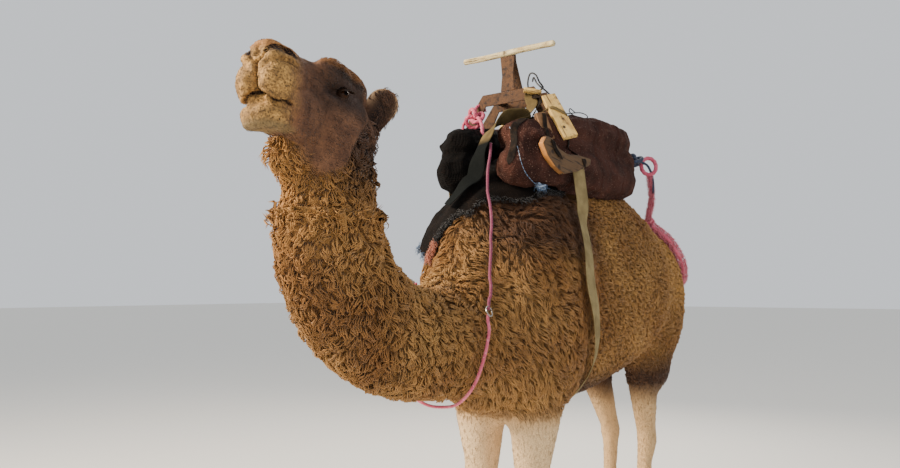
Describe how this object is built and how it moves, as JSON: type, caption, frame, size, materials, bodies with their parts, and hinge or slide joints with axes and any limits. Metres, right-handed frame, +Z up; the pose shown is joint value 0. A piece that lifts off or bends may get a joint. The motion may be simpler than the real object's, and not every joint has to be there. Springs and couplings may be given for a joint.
{
  "type": "dromedary camel",
  "caption": "Life-size standing one-humped camel with raised head, curly brown wool and a padded riding saddle with a hand bar, girth and crupper.",
  "frame": {"origin": "On the floor, below the middle of the whole model's bounding box.", "axes": "+Z is up, the animal faces -Y with its head turned a little to its left, +X is its left side and +Y is towards the tail."},
  "size_m": [0.6616, 2.842, 2.3305],
  "materials": {
    "board_brown_left": "worn brown hardwood",
    "board_brown_right": "worn brown hardwood",
    "board_paddle_left": "worn brown hardwood",
    "board_paddle_right": "worn brown hardwood",
    "board_pale_left": "weathered pale softwood",
    "board_pale_right": "weathered pale softwood",
    "breast_band": "khaki woven webbing",
    "breast_clip": "plain steel",
    "breast_rope_lower": "pink and red braided rope",
    "breast_rope_upper": "pink and red braided rope",
    "crupper_band": "pink and red braided rope",
    "crupper_ring": "pink and red braided rope",
    "crupper_rope_left": "pink and red braided rope",
    "crupper_rope_right": "pink and red braided rope",
    "cushion_lower": "coarse dark maroon blanket cloth over a stuffed roll",
    "cushion_upper": "coarse dark maroon blanket cloth over a stuffed roll",
    "ear_left": "long curly golden-brown wool, matt",
    "ear_right": "long curly golden-brown wool, matt",
    "eye_left": "wet dark brown eyeball",
    "eye_right": "wet dark brown eyeball",
    "foreleg_left": "short dense cream coat, matt",
    "foreleg_right": "short dense cream coat, matt",
    "frame_arch_front": "rusty brown flat iron",
    "frame_arch_rear": "rusty brown flat iron",
    "frame_brace": "rusty brown flat iron",
    "frame_riser": "rusty brown flat iron",
    "frame_tie_left": "rusty brown flat iron",
    "frame_tie_right": "rusty brown flat iron",
    "girth_strap": "khaki woven webbing",
    "grip_bar": "weathered pale softwood",
    "head": "long curly golden-brown wool, matt",
    "hindleg_left": "short dense cream coat, matt",
    "hindleg_right": "short dense cream coat, matt",
    "hump": "long curly golden-brown wool, matt",
    "knot_navy": "navy cord with white flecks",
    "knot_pink": "pink and red braided rope",
    "nail_foreleg_left_inner": "worn dark horn",
    "nail_foreleg_left_outer": "worn dark horn",
    "nail_foreleg_right_inner": "worn dark horn",
    "nail_foreleg_right_outer": "worn dark horn",
    "nail_hindleg_left_inner": "worn dark horn",
    "nail_hindleg_left_outer": "worn dark horn",
    "nail_hindleg_right_inner": "worn dark horn",
    "nail_hindleg_right_outer": "worn dark horn",
    "neck": "long curly golden-brown wool, matt",
    "saddle_cloth": "coarse near-black felted cloth with a frayed orange and pink edge",
    "tail": "long curly golden-brown wool, matt",
    "trunk": "long curly golden-brown wool, matt"
  },
  "bodies": {
    "root": {"board_brown_left": "board_brown_left", "board_brown_right": "board_brown_right", "board_paddle_left": "board_paddle_left", "board_paddle_right": "board_paddle_right", "board_pale_left": "board_pale_left", "board_pale_right": "board_pale_right", "breast_band": "breast_band", "breast_clip": "breast_clip", "breast_rope_lower": "breast_rope_lower", "breast_rope_upper": "breast_rope_upper", "crupper_band": "crupper_band", "crupper_ring": "crupper_ring", "crupper_rope_left": "crupper_rope_left", "crupper_rope_right": "crupper_rope_right", "cushion_lower": "cushion_lower", "cushion_upper": "cushion_upper", "ear_left": "ear_left", "ear_right": "ear_right", "eye_left": "eye_left", "eye_right": "eye_right", "foreleg_left": "foreleg_left", "foreleg_right": "foreleg_right", "frame_arch_front": "frame_arch_front", "frame_arch_rear": "frame_arch_rear", "frame_brace": "frame_brace", "frame_riser": "frame_riser", "frame_tie_left": "frame_tie_left", "frame_tie_right": "frame_tie_right", "girth_strap": "girth_strap", "grip_bar": "grip_bar", "head": "head", "hindleg_left": "hindleg_left", "hindleg_right": "hindleg_right", "hump": "hump", "knot_navy": "knot_navy", "knot_pink": "knot_pink", "nail_foreleg_left_inner": "nail_foreleg_left_inner", "nail_foreleg_left_outer": "nail_foreleg_left_outer", "nail_foreleg_right_inner": "nail_foreleg_right_inner", "nail_foreleg_right_outer": "nail_foreleg_right_outer", "nail_hindleg_left_inner": "nail_hindleg_left_inner", "nail_hindleg_left_outer": "nail_hindleg_left_outer", "nail_hindleg_right_inner": "nail_hindleg_right_inner", "nail_hindleg_right_outer": "nail_hindleg_right_outer", "neck": "neck", "saddle_cloth": "saddle_cloth", "tail": "tail", "trunk": "trunk"}
  },
  "joints": []
}
